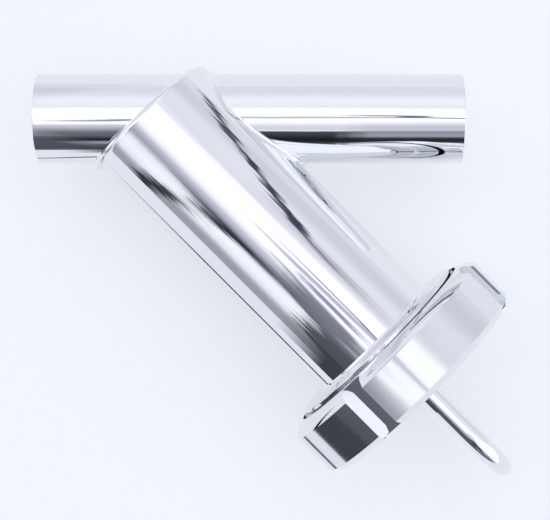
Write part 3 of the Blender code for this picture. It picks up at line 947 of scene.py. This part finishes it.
class STRAINER_OT_basket(PieceOperator, bpy.types.Operator):
    """Build the lift-out basket"""

    bl_idname = "strainer.basket"
    bl_label = "Build Basket"

    def build(self, sizes):
        edge = sizes.edge_break
        piece = self.perforated_sleeve(sizes)
        finish_piece(piece, "basket", ["basket_tube"], "inner_steel", material("mill_leg"))
        piece = turned("basket_mouth_ring", [
            (top_ring.outer, top_ring.end, edge), (top_ring.outer, top_ring.start, edge),
            (top_ring.inner, top_ring.start, edge), (top_ring.inner, top_ring.end, edge)])
        lay(piece, LEG_WAY)
        finish_piece(piece, "basket", ["basket_top_ring"], "inner_steel", material("satin_turned"))
        piece = turned("basket_bottom", [
            (0.0, base.end, 0.0), (base.outer, base.end, edge * 2), (base.outer, base.start, edge * 2),
            (0.0, base.start, 0.0)])
        lay(piece, LEG_WAY)
        finish_piece(piece, "basket", ["basket_base"], "inner_steel", material("satin_turned"))
        self.strip(sizes)
        self.bail()

    def perforated_sleeve(self, sizes):
        """One holed cell, repeated over a sheet that is then rolled up and given its wall."""
        wide = math.tau * sleeve.outer / sizes.holes_round
        tall = (sleeve.end - sleeve.start) / sizes.holes_along
        deselect()
        bpy.ops.mesh.primitive_circle_add(vertices=12, radius=sizes.hole / 2)
        piece = named("perforated_sleeve")
        piece.data.transform(Matrix.Rotation(math.tau / 24, 4, "Z"))
        edit(piece)
        bpy.ops.mesh.extrude_edges_move()
        leave_edit()
        for vertex in piece.data.vertices[12:]:
            longest = max(abs(vertex.co.x), abs(vertex.co.y))
            vertex.co = (vertex.co.x / longest * wide / 2, vertex.co.y / longest * tall / 2, 0.0)
        for axis, (count, step) in enumerate(((sizes.holes_round, wide), (sizes.holes_along, tall))):
            array = piece.modifiers.new("rows", "ARRAY")
            array.count = count
            array.use_relative_offset = False
            array.use_constant_offset = True
            array.constant_offset_displace = (step, 0, 0) if axis == 0 else (0, step, 0)
            array.use_merge_vertices = True
            array.merge_threshold = MERGE
        apply_modifiers(piece)
        for vertex in piece.data.vertices:
            turn = vertex.co.x / sleeve.outer
            station = sleeve.start + tall / 2 + vertex.co.y
            vertex.co = (sleeve.outer * math.cos(turn), sleeve.outer * math.sin(turn), station)
        close_up(piece)
        wall = piece.modifiers.new("wall", "SOLIDIFY")
        wall.thickness = sleeve.outer - sleeve.inner
        wall.offset = -1.0
        apply_modifiers(piece)
        return lay(piece, LEG_WAY)

    def strip(self, sizes):
        """The strip over the sleeve's joint."""
        low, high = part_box("basket_seam")
        points = [vertex.co for vertex in frame["nodes"]["basket_seam"].data.vertices]
        local = [axes(LEG_WAY).inverted() @ point for point in points]
        turns = [math.atan2(point.y, point.x) for point in local]
        deselect()
        bpy.ops.mesh.primitive_grid_add(x_subdivisions=8, y_subdivisions=40, size=1.0)
        piece = named("seam_strip")
        for vertex in piece.data.vertices:
            turn = min(turns) + (vertex.co.x + 0.5) * (max(turns) - min(turns))
            station = seam_strip.start + (vertex.co.y + 0.5) * (seam_strip.end - seam_strip.start)
            vertex.co = (seam_strip.outer * math.cos(turn), seam_strip.outer * math.sin(turn), station)
        wall = piece.modifiers.new("wall", "SOLIDIFY")
        wall.thickness = seam_strip.outer - seam_strip.inner
        wall.offset = -1.0
        apply_modifiers(piece)
        close_up(piece)
        break_edges(piece, sizes.edge_break / 2, angle=60.0)
        lay(piece, LEG_WAY)
        finish_piece(piece, "basket", ["basket_seam"], "inner_steel", material("mill_leg"))

    def bail(self):
        """The small bow that the basket is pulled out by."""
        low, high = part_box("basket_grip")
        rod = 0.0013
        half = high.z - rod
        centre = grip.end - rod - half
        foot = base.end - 0.0004
        deselect()
        bpy.ops.mesh.primitive_circle_add(vertices=32, radius=rod, fill_type="NGON")
        piece = named("pull_bail")
        piece.data.transform(Matrix.Translation((half, 0.0, foot)))
        edit(piece)
        bpy.ops.mesh.extrude_region_move(TRANSFORM_OT_translate={"value": (0, 0, centre - foot)})
        bpy.ops.mesh.spin(steps=48, angle=math.pi, center=(0, 0, centre), axis=(0, 1, 0))
        bpy.ops.mesh.extrude_region_move(TRANSFORM_OT_translate={"value": (0, 0, foot - centre)})
        leave_edit()
        close_up(piece)
        lay(piece, LEG_WAY)
        finish_piece(piece, "basket", ["basket_grip"], "inner_steel", material("polished_fitting"), angle=60.0)


# ---- Stage --------------------------------------------------------------------------------------------
class STRAINER_OT_stage(bpy.types.Operator):
    """Build the floor, the studio light and the camera"""

    bl_idname = "strainer.stage"
    bl_label = "Build Stage"
    bl_options = {"REGISTER", "UNDO"}

    def execute(self, context):
        """Build the stage."""
        look = context.scene.studio_look
        self.floor(look)
        self.room(context, look)
        self.light()
        self.flags(look)
        self.camera(context, look)
        context.scene.view_settings.view_transform = "Standard"
        return {"FINISHED"}

    def floor(self, look):
        """A plain pale floor just under the nut, lit a little from below."""
        low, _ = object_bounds()
        deselect()
        bpy.ops.mesh.primitive_circle_add(vertices=128, radius=look.floor_radius, fill_type="NGON",
                                          location=(0.05, -0.05, low.z - 0.0003))
        piece = named("floor")
        paper, nodes, shader = new_material("floor_paper", 0.0)
        shader.inputs["Base Color"].default_value = tinted(look.floor, look.floor_lit)
        shader.inputs["Roughness"].default_value = 0.9
        shader.inputs["Specular IOR Level"].default_value = 0.0
        shader.inputs["Emission Color"].default_value = tinted(look.floor, 1.0)
        shader.inputs["Emission Strength"].default_value = look.floor_glow
        piece.data.materials.append(paper)
        piece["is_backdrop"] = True

    def light(self):
        """One large soft light overhead, kept out of reflections."""
        deselect()
        bpy.ops.object.light_add(type="AREA", location=(0.1, 0.3, 1.2))
        lamp = bpy.context.object
        lamp.name = "soft_top"
        lamp.data.shape = "DISK"
        lamp.data.size = 1.4
        lamp.data.energy = 5.0
        lamp.rotation_euler = Vector((0.05, 0.35, 1.25)).to_track_quat("Z", "Y").to_euler()
        lamp.visible_glossy = False

    def flags(self, look):
        """Dark cards that only the polish sees: one beside the nut, and a strip along the leg."""
        middle = LEG_WAY * (nut.start + nut.end) / 2 - LEG_SIDE * look.flag_distance
        stand = Matrix((LEG_WAY, UP, LEG_SIDE)).transposed().to_4x4()
        lift = UP * (look.flag_height / 2 - nut.outer * 0.75)
        self.flag("dark_flag", Matrix.Translation(middle + lift) @ stand,
                  (look.flag_width, look.flag_height), (0.055, 0.06, 0.07))
        flat = Matrix((LEG_WAY, -LEG_SIDE, UP)).transposed().to_4x4()
        beside = LEG_WAY * nut.end / 2 - LEG_SIDE * (barrel.outer + look.strip_distance)
        self.flag("floor_flag", Matrix.Translation(beside - UP * nut.outer) @ flat,
                  (nut.end * 1.2, look.strip_width), (0.02, 0.02, 0.03))

    def flag(self, name, place, size, paint):
        """One dark card, soft at its ends."""
        deselect()
        bpy.ops.mesh.primitive_plane_add(size=1.0)
        card = named(name)
        card.data.transform(place @ Matrix.Diagonal((*size, 1.0, 1.0)))
        finish, nodes, shader = new_material(f"{name}_cloth", 0.0)
        shader.inputs["Base Color"].default_value = (0.0, 0.0, 0.0, 1.0)
        shader.inputs["Specular IOR Level"].default_value = 0.0
        shader.inputs["Emission Color"].default_value = (*paint, 1.0)
        shader.inputs["Emission Strength"].default_value = 1.0
        parts = nodes.add("ShaderNodeSeparateXYZ", {0: nodes.add("ShaderNodeUVMap").outputs[0]}).outputs
        ends = nodes.spread(parts[0], 0.0, 0.35)
        nodes.tree.links.new(ends, shader.inputs["Alpha"])
        card.data.materials.append(finish)
        for kind in ("camera", "diffuse", "shadow", "transmission"):
            setattr(card, f"visible_{kind}", False)
        card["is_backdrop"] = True

    def room(self, context, look):
        """The room that the polish reflects, drawn by the slope at which the mirror faces each part of it."""
        world = bpy.data.worlds.new("studio_room")
        context.scene.world = world
        world.use_nodes = True
        nodes = Tree(world.node_tree)
        way = nodes.add("ShaderNodeTexCoord").outputs["Generated"]
        parts = nodes.add("ShaderNodeSeparateXYZ", {0: way}).outputs
        rise = nodes.maths("MAXIMUM", nodes.maths("ADD", parts[2], 1.0), 0.02)
        x = nodes.maths("DIVIDE", parts[0], rise)
        y = nodes.maths("DIVIDE", parts[1], rise)
        flat = nodes.add("ShaderNodeCombineXYZ", {0: x, 1: y}).outputs[0]
        waver = nodes.maths("MULTIPLY", nodes.maths("SUBTRACT", nodes.noise(flat, 22.0, 4.0, 0.6), 0.5), 0.05)
        across = nodes.maths("MULTIPLY", nodes.maths("ADD", x, y), math.sqrt(0.5))
        leg = nodes.maths("ADD", nodes.maths("MULTIPLY", nodes.maths("SUBTRACT", x, y), math.sqrt(0.5)), waver)
        on_leg = nodes.spread(nodes.maths("ABSOLUTE", x), 0.10, 0.13)
        near = nodes.blend(on_leg, self.near_run(nodes, x, y, waver), self.near_leg(nodes, across, leg, waver))
        painted = nodes.blend(nodes.spread(y, 0.0, 0.04), near, self.far_side(nodes, x, y, across, leg, on_leg))
        shifted = nodes.maths("ADD", across, nodes.spread(leg, 0.030, 0.045, 0.0, 0.022))
        thin = nodes.maths("MULTIPLY", nodes.stripe(shifted, 0.028, 0.006), nodes.spread(leg, -0.02, 0.004))
        painted = nodes.blend(thin, painted, (*room_grey(0.42, 0.35), 1.0))
        wide = nodes.maths("MULTIPLY", nodes.stripe(across, -0.11, 0.025), nodes.between(leg, 0.0, 0.032, 0.008))
        painted = nodes.blend(wide, painted, (*room_grey(0.62, 0.15), 1.0))
        seen = nodes.add("ShaderNodeLightPath").outputs["Is Camera Ray"]
        backdrop = tinted(look.backdrop, 1 / look.room_strength)
        background = world.node_tree.nodes["Background"]
        world.node_tree.links.new(nodes.blend(seen, painted, backdrop), background.inputs["Color"])
        background.inputs["Strength"].default_value = look.room_strength

    def far_side(self, nodes, x, y, across, leg, on_leg):
        """The white light overhead, the pale walls behind it and a dark cable that hangs there."""
        reach = nodes.maths("MULTIPLY_ADD", nodes.maths("MAXIMUM", x, 0.0), 0.35, y)
        walls = nodes.ramp(reach, ((0.16, 1.04), (0.215, 0.925), (0.27, 0.945), (0.38, 0.96), (0.44, 0.945),
                                   (0.52, 0.90), (0.65, 0.875), (0.85, 0.875), (1.0, 0.92)))
        leg_walls = nodes.ramp(reach, ((0.15, 1.04), (0.22, 0.88), (0.30, 0.90), (0.48, 0.90), (0.62, 0.83),
                                       (0.78, 0.83), (0.88, 0.87)))
        walls = nodes.blend(on_leg, walls, leg_walls)
        dip = nodes.maths("MULTIPLY", nodes.stripe(across, 0.33, 0.05), nodes.between(leg, -0.02, 0.03, 0.015))
        walls = nodes.blend(nodes.maths("MULTIPLY", dip, 0.8), walls, (*room_grey(0.70), 1.0))
        line = nodes.maths("MULTIPLY_ADD", nodes.maths("SUBTRACT", across, 0.33), 0.19, leg)
        cable = nodes.maths("MULTIPLY", nodes.stripe(line, -0.005, 0.007), nodes.between(across, 0.31, 1.0, 0.04))
        return nodes.blend(cable, walls, (*room_grey(0.28, 0.20), 1.0))

    def near_run(self, nodes, x, y, waver):
        """What the run's pipes face on the near side: a dark figure, in three upright bands."""
        drop = nodes.maths("MULTIPLY_ADD", waver, 0.4, nodes.maths("MULTIPLY", y, -1.0))
        left = nodes.ramp(drop, ((0.15, 1.04), (0.20, 0.82), (0.25, 0.74), (0.36, 0.45), (0.47, 0.38),
                                 (0.54, 0.20), (0.61, 0.12), (0.66, 0.60), (0.80, 0.70), (0.95, 0.32)))
        middle = nodes.ramp(drop, ((0.12, 1.04), (0.20, 0.90), (0.27, 0.83), (0.335, 0.90), (0.36, 0.30),
                                   (0.50, 0.19), (0.58, 0.11), (0.68, 0.18), (0.76, 0.40)))
        right = nodes.ramp(drop, ((0.10, 1.04), (0.17, 0.90), (0.24, 0.78), (0.32, 0.80), (0.36, 0.57),
                                  (0.48, 0.63), (0.53, 0.30), (0.58, 0.16), (0.66, 0.18), (0.74, 0.50)))
        inner = nodes.blend(nodes.spread(x, -0.055, -0.035), left, middle)
        figure = nodes.blend(nodes.spread(x, 0.012, 0.028), inner, right)
        seam = nodes.maths("MULTIPLY", nodes.stripe(drop, 0.028, 0.016), nodes.between(x, -0.05, 0.035, 0.012))
        return nodes.blend(nodes.maths("MULTIPLY", seam, 0.8), figure, (*room_grey(0.66, 0.08), 1.0))

    def near_leg(self, nodes, across, leg, waver):
        """What the leg faces on the near side: the figure's side, a light gap and a dark cable."""
        depth = nodes.maths("MULTIPLY", across, -1.0)
        light = nodes.ramp(depth, ((0.12, 1.04), (0.19, 0.955), (0.25, 0.79), (0.32, 0.66), (0.36, 0.70),
                                   (0.43, 0.92), (0.54, 0.98), (0.69, 0.92), (0.81, 0.67), (0.90, 0.63)))
        dark = nodes.ramp(depth, ((0.10, 0.95), (0.165, 0.62), (0.24, 0.52), (0.40, 0.46), (0.50, 0.34),
                                  (0.75, 0.32), (0.90, 0.38)))
        lower = nodes.maths("MULTIPLY", nodes.maths("MAXIMUM", nodes.maths("SUBTRACT", depth, 0.75), 0.0), 0.30)
        edge = nodes.maths("ADD", nodes.spread(depth, 0.40, 0.46, -0.005, 0.016), lower)
        figure = nodes.spread(nodes.maths("SUBTRACT", leg, edge), -0.006, 0.008)
        beyond = nodes.maths("MULTIPLY", nodes.spread(leg, 0.030, 0.045), nodes.spread(depth, 0.34, 0.42, 1.0, 0.0))
        figure = nodes.maths("MULTIPLY", figure, nodes.maths("SUBTRACT", 1.0, beyond))
        painted = nodes.blend(figure, light, dark)
        arm = nodes.maths("MULTIPLY", nodes.between(leg, -0.055, 0.0, 0.012), nodes.between(depth, 0.34, 0.44, 0.03))
        painted = nodes.blend(nodes.maths("MULTIPLY", arm, 0.9), painted, (*room_grey(0.28, 0.10), 1.0))
        line = nodes.maths("MULTIPLY_ADD", nodes.maths("SUBTRACT", depth, 0.385), 0.155, leg)
        faint = nodes.maths("MULTIPLY", nodes.between(depth, 0.50, 0.64, 0.05), 0.75)
        cable = nodes.maths("MULTIPLY", nodes.stripe(line, -0.03, 0.009), nodes.between(depth, 0.37, 1.08, 0.03))
        strength = nodes.maths("MULTIPLY", cable, nodes.maths("SUBTRACT", 0.95, faint))
        return nodes.blend(strength, painted, (*room_grey(0.15, 0.10), 1.0))

    def camera(self, context, look):
        """Straight down on the strainer, a little off its middle."""
        deselect()
        bpy.ops.object.camera_add(location=(look.camera_x, look.camera_y, look.camera_height), rotation=(0, 0, 0))
        camera = bpy.context.object
        camera.name = "camera"
        camera.data.lens = look.focal_length
        camera.data.sensor_width = 36.0
        camera.data.shift_x = -0.0564
        camera.data.shift_y = 0.0145
        camera.data.clip_start = 0.01
        context.scene.camera = camera


class STRAINER_PT_panel(bpy.types.Panel):
    """Lists the builders and their settings"""

    bl_idname = "STRAINER_PT_panel"
    bl_label = "Y-Type Strainer"
    bl_space_type = "VIEW_3D"
    bl_region_type = "UI"
    bl_category = "Strainer"

    def draw(self, context):
        """One button for each builder, then the settings."""
        for builder in BUILDERS:
            self.layout.operator(builder.bl_idname)
        for owner in (context.scene.strainer_sizes, context.scene.strainer_finish, context.scene.studio_look):
            box = self.layout.box()
            for name in owner.__annotations__:
                box.prop(owner, name)


BUILDERS = (
    STRAINER_OT_materials,
    STRAINER_OT_run_pipes,
    STRAINER_OT_barrel,
    STRAINER_OT_welds,
    STRAINER_OT_ferrule,
    STRAINER_OT_cap,
    STRAINER_OT_nut,
    STRAINER_OT_basket,
    STRAINER_OT_stage,
)
SETTINGS = {"strainer_sizes": StrainerSizes, "strainer_finish": StrainerFinish, "studio_look": StudioLook}


def register():
    """Add the classes and the scene's settings."""
    for entry in (*SETTINGS.values(), *BUILDERS, STRAINER_PT_panel):
        bpy.utils.register_class(entry)
    for name, kind in SETTINGS.items():
        setattr(bpy.types.Scene, name, PointerProperty(type=kind))


def unregister():
    """Take the settings and the classes away."""
    for name in SETTINGS:
        delattr(bpy.types.Scene, name)
    for entry in (STRAINER_PT_panel, *reversed(BUILDERS), *SETTINGS.values()):
        bpy.utils.unregister_class(entry)


def main():
    """Build everything."""
    register()
    for builder in BUILDERS:
        space, name = builder.bl_idname.split(".")
        getattr(getattr(bpy.ops, space), name)()


if __name__ == "__main__":
    main()
